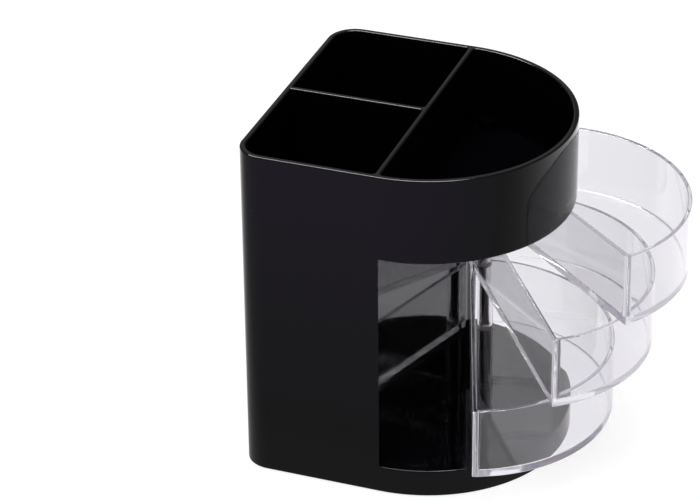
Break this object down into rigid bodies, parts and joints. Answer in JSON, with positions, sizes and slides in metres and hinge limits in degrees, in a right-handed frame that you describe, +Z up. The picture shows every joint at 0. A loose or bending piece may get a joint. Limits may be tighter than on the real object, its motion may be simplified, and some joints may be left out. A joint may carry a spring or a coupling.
{
  "type": "rotating desk organizer with drawers",
  "caption": "D-shaped desk organizer: pen compartments and a half-moon tray over clear half-disc drawers that swing out on one upright rod.",
  "frame": {"origin": "centre of the round end, on the underside of the base pad, where the organizer stands on the desk", "axes": "+Z up, +X along the length towards the round end, +Y towards the side with the hinge rod"},
  "size_m": [0.1237, 0.1, 0.109],
  "materials": {
    "black_gloss": "polished injection-moulded black styrene",
    "black_cover": "fine-grained black moulding",
    "pad_rubber": "fine pebble, non-slip rubber sheet",
    "clear_drawer": "polished clear styrene",
    "rod_steel": "drawn steel, nickel plated",
    "screw_steel": "zinc plated",
    "washer_nylon": "natural nylon"
  },
  "bodies": {
    "housing": {"housing": "black_gloss", "base_cover": "black_cover", "base_pad": "pad_rubber", "hinge_rod": "rod_steel", "cover_screw_1": "screw_steel", "cover_screw_2": "screw_steel", "cover_screw_3": "screw_steel", "cover_screw_4": "screw_steel", "washer_1": "washer_nylon", "washer_2": "washer_nylon", "washer_3": "washer_nylon", "washer_4": "washer_nylon"},
    "drawer_lower": {"drawer_lower": "clear_drawer"},
    "drawer_middle": {"drawer_middle": "clear_drawer"},
    "drawer_upper": {"drawer_upper": "clear_drawer"}
  },
  "joints": [
    {"name": "drawer_lower_swing", "type": "hinge", "parent": "housing", "child": "drawer_lower", "pos_m": [0.0056, 0.04122, 0.00975], "axis": [0, 0, 1], "range_deg": [-18.8, 101.2]},
    {"name": "drawer_middle_swing", "type": "hinge", "parent": "housing", "child": "drawer_middle", "pos_m": [0.0056, 0.04122, 0.03368], "axis": [0, 0, 1], "range_deg": [-34.6, 85.4]},
    {"name": "drawer_upper_swing", "type": "hinge", "parent": "housing", "child": "drawer_upper", "pos_m": [0.0056, 0.04122, 0.05762], "axis": [0, 0, 1], "range_deg": [-49.6, 70.4]}
  ]
}
